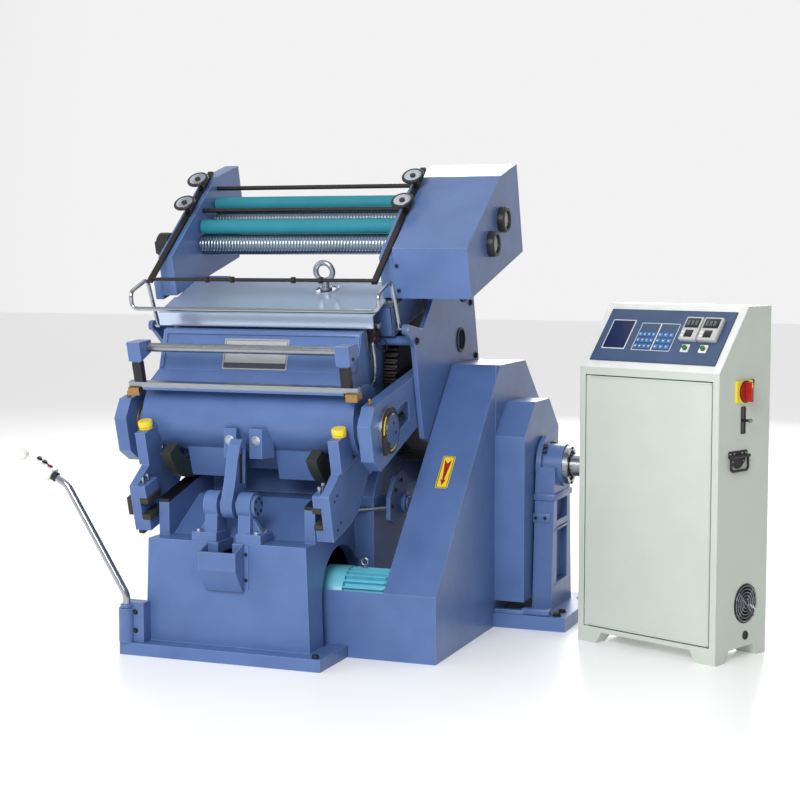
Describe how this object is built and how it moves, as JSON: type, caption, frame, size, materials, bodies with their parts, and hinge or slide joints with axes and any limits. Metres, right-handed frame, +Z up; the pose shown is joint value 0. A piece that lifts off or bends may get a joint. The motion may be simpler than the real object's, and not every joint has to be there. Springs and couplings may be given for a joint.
{
  "type": "rolling platen press",
  "caption": "Rolling platen press for die cutting and hot foil stamping, with a foil unit on top, a belt-driven crank at the side and a free-standing control cabinet.",
  "frame": {"origin": "on the floor at the middle of the press base plate", "axes": "+X to the operator's right, +Y to the back, +Z up"},
  "size_m": [2.692, 1.63, 1.8646],
  "materials": {
    "blue_paint": "semi-gloss hammered blue enamel",
    "bright_steel": "turned steel",
    "plate_alloy": "machined plate",
    "polished_tube": "polished",
    "eye_paint": "plated",
    "knurled_steel": "knurled",
    "white_plastic": "glossy",
    "dark_steel": "oiled",
    "bronze": "cast bronze",
    "black_plastic": "satin",
    "teal_rubber": "smooth",
    "cover_steel": "glossy pale",
    "cream_paint": "fine textured",
    "panel_paint": "satin",
    "motor_paint": "satin",
    "belt_rubber": "matt",
    "dial_steel": "turned",
    "red_plastic": "glossy",
    "green_plastic": "glossy",
    "olive_paint": "satin"
  },
  "bodies": {
    "machine": {"base_casting": "blue_paint", "oil_trough": "blue_paint", "rocker_rails": "dark_steel", "pillow_blocks": "blue_paint", "link_pivot_shaft": "blue_paint", "side_frames": "blue_paint", "bed_casting": "blue_paint", "heating_plate": "plate_alloy", "bed_cover": "cover_steel", "lifting_eye": "eye_paint", "belt_guard": "blue_paint", "clutch_casing": "blue_paint", "bearing_pedestal": "blue_paint", "bearing_cap": "bright_steel", "drive_motor": "motor_paint", "v_belts": "belt_rubber", "foil_housing_left": "blue_paint", "foil_drive_box": "blue_paint", "foil_motor_caps": "black_plastic", "foil_guide_frame": "dark_steel", "cable_loop": "belt_rubber", "swivel_socket": "blue_paint", "cabinet_body": "cream_paint", "cabinet_fascia": "panel_paint"},
    "carriage": {"trunnion_shaft": "bright_steel", "side_arms": "blue_paint", "trunnion_dials": "dial_steel"},
    "platen": {"platen_casting": "blue_paint", "guide_hooks": "blue_paint", "rocker_shoes": "olive_paint", "link_bracket": "blue_paint", "platen_bars": "bright_steel", "bronze_blocks": "bronze", "rest_brackets": "blue_paint"},
    "swivel": {"swivel_tube": "polished_tube", "station_box": "white_plastic"},
    "slotted_link_body": {"slotted_link": "blue_paint"},
    "crank_gears_body": {"crank_gears": "dark_steel"},
    "drive_shaft_body": {"drive_shaft": "bright_steel"},
    "flywheel_body": {"flywheel": "dark_steel"},
    "motor_pulley_body": {"motor_pulley": "dark_steel"},
    "steel_roller_front_body": {"steel_roller_front": "knurled_steel"},
    "steel_roller_rear_body": {"steel_roller_rear": "knurled_steel"},
    "rubber_roller_front_body": {"rubber_roller_front": "teal_rubber"},
    "rubber_roller_rear_body": {"rubber_roller_rear": "teal_rubber"},
    "handwheel_front_left_body": {"handwheel_front_left": "black_plastic"},
    "handwheel_rear_left_body": {"handwheel_rear_left": "black_plastic"},
    "handwheel_front_right_body": {"handwheel_front_right": "black_plastic"},
    "handwheel_rear_right_body": {"handwheel_rear_right": "black_plastic"},
    "safety_bail_body": {"safety_bail": "polished_tube"},
    "station_button_stop_body": {"station_button_stop": "red_plastic"},
    "station_button_jog_body": {"station_button_jog": "black_plastic"},
    "station_button_run_body": {"station_button_run": "black_plastic"},
    "cabinet_door_body": {"cabinet_door": "cream_paint"},
    "rotary_knob_body": {"rotary_knob": "red_plastic"},
    "latch_bail_body": {"latch_bail": "black_plastic"},
    "panel_button_left_body": {"panel_button_left": "green_plastic"},
    "panel_button_right_body": {"panel_button_right": "green_plastic"},
    "slot_lever_body": {"slot_lever": "black_plastic"},
    "fan_rotor_body": {"fan_rotor": "black_plastic"}
  },
  "joints": [
    {"name": "platen_travel", "type": "slide", "parent": "machine", "child": "carriage", "axis": [0, -0.9659, -0.2588], "range_m": [0, 0.15]},
    {"name": "platen_rock", "type": "hinge", "parent": "carriage", "child": "platen", "pos_m": [0, -0.245, 0.842], "axis": [1, 0, 0], "range_deg": [0, 41]},
    {"name": "link_swing", "type": "hinge", "parent": "machine", "child": "slotted_link_body", "pos_m": [0, -0.47, 0.568], "axis": [1, 0, 0], "range_deg": [0, 36]},
    {"name": "crank_turn", "type": "hinge", "parent": "machine", "child": "crank_gears_body", "pos_m": [0, 0.35001, 1.00143], "axis": [1, 0, 0], "range_deg": [0, 181]},
    {"name": "drive_shaft_turn", "type": "hinge", "parent": "machine", "child": "drive_shaft_body", "pos_m": [0, 0.60505, 0.63311], "axis": [1, 0, 0], "range_deg": [-541, 0]},
    {"name": "flywheel_spin", "type": "hinge", "parent": "machine", "child": "flywheel_body", "pos_m": [0, 0.60505, 0.63311], "axis": [1, 0, 0], "continuous": true},
    {"name": "motor_spin", "type": "hinge", "parent": "machine", "child": "motor_pulley_body", "pos_m": [0.3, -0.21, 0.205], "axis": [1, 0, 0], "continuous": true},
    {"name": "steel_roller_front_spin", "type": "hinge", "parent": "machine", "child": "steel_roller_front_body", "pos_m": [0, 0.15967, 1.53019], "axis": [1, 0, 0], "continuous": true},
    {"name": "rubber_roller_front_spin", "type": "hinge", "parent": "machine", "child": "rubber_roller_front_body", "pos_m": [0, 0.15394, 1.60146], "axis": [1, 0, 0], "continuous": true},
    {"name": "steel_roller_rear_spin", "type": "hinge", "parent": "machine", "child": "steel_roller_rear_body", "pos_m": [0, 0.29174, 1.62458], "axis": [1, 0, 0], "continuous": true},
    {"name": "rubber_roller_rear_spin", "type": "hinge", "parent": "machine", "child": "rubber_roller_rear_body", "pos_m": [0, 0.28601, 1.69585], "axis": [1, 0, 0], "continuous": true},
    {"name": "handwheel_front_left_turn", "type": "hinge", "parent": "machine", "child": "handwheel_front_left_body", "pos_m": [-0.47, 0.0939, 1.66238], "axis": [0, -0.6428, 0.766], "range_deg": [-360, 360]},
    {"name": "handwheel_rear_left_turn", "type": "hinge", "parent": "machine", "child": "handwheel_rear_left_body", "pos_m": [-0.47, 0.21111, 1.76073], "axis": [0, -0.6428, 0.766], "range_deg": [-360, 360]},
    {"name": "handwheel_front_right_turn", "type": "hinge", "parent": "machine", "child": "handwheel_front_right_body", "pos_m": [0.47, 0.0939, 1.66238], "axis": [0, -0.6428, 0.766], "range_deg": [-360, 360]},
    {"name": "handwheel_rear_right_turn", "type": "hinge", "parent": "machine", "child": "handwheel_rear_right_body", "pos_m": [0.47, 0.21111, 1.76073], "axis": [0, -0.6428, 0.766], "range_deg": [-360, 360]},
    {"name": "bail_swing", "type": "hinge", "parent": "machine", "child": "safety_bail_body", "pos_m": [0, -0.08234, 1.20859], "axis": [1, 0, 0], "range_deg": [-12, 0]},
    {"name": "station_swivel", "type": "hinge", "parent": "machine", "child": "swivel", "pos_m": [-0.387, -0.58, 0.3], "axis": [0, 0, 1], "range_deg": [-20, 80]},
    {"name": "station_stop_press", "type": "slide", "parent": "swivel", "child": "station_button_stop_body", "axis": [-0.4848, 0, -0.8746], "range_m": [0, 0.003], "stiffness_N_per_m": 600},
    {"name": "station_jog_press", "type": "slide", "parent": "swivel", "child": "station_button_jog_body", "axis": [-0.4848, 0, -0.8746], "range_m": [0, 0.003], "stiffness_N_per_m": 600},
    {"name": "station_run_press", "type": "slide", "parent": "swivel", "child": "station_button_run_body", "axis": [-0.4848, 0, -0.8746], "range_m": [0, 0.003], "stiffness_N_per_m": 600},
    {"name": "door_swing", "type": "hinge", "parent": "machine", "child": "cabinet_door_body", "pos_m": [1.17139, 0.23691, 0.5], "axis": [0, 0, -1], "range_deg": [0, 100]},
    {"name": "knob_turn", "type": "hinge", "parent": "machine", "child": "rotary_knob_body", "pos_m": [1.77317, 0.14327, 0.993], "axis": [0.9191, -0.3939, 0], "range_deg": [0, 90]},
    {"name": "latch_swing", "type": "hinge", "parent": "machine", "child": "latch_bail_body", "pos_m": [1.76805, 0.10848, 0.758], "axis": [-0.3939, -0.9191, 0], "range_deg": [0, 90]},
    {"name": "panel_left_press", "type": "slide", "parent": "machine", "child": "panel_button_left_body", "axis": [0.3103, 0.7239, -0.6162], "range_m": [0, 0.003], "stiffness_N_per_m": 600},
    {"name": "panel_right_press", "type": "slide", "parent": "machine", "child": "panel_button_right_body", "axis": [0.3103, 0.7239, -0.6162], "range_m": [0, 0.003], "stiffness_N_per_m": 600},
    {"name": "lever_slide", "type": "slide", "parent": "machine", "child": "slot_lever_body", "axis": [0, 0, 1], "range_m": [-0.03, 0.03]},
    {"name": "fan_spin", "type": "hinge", "parent": "machine", "child": "fan_rotor_body", "pos_m": [1.77658, 0.17662, 0.205], "axis": [0.9191, -0.3939, 0], "continuous": true}
  ],
  "couplings": [
    {"joint": "platen_rock", "follows": "platen_travel", "rad_per_m": 4.7619},
    {"joint": "link_swing", "follows": "platen_travel", "rad_per_m": 4.0724},
    {"joint": "crank_turn", "follows": "platen_travel", "rad_per_m": 20.944},
    {"joint": "drive_shaft_turn", "follows": "platen_travel", "rad_per_m": -62.832},
    {"joint": "motor_spin", "follows": "flywheel_spin", "ratio": 5.4},
    {"joint": "rubber_roller_front_spin", "follows": "steel_roller_front_spin", "ratio": -1.3667},
    {"joint": "rubber_roller_rear_spin", "follows": "steel_roller_rear_spin", "ratio": -1.3667}
  ]
}
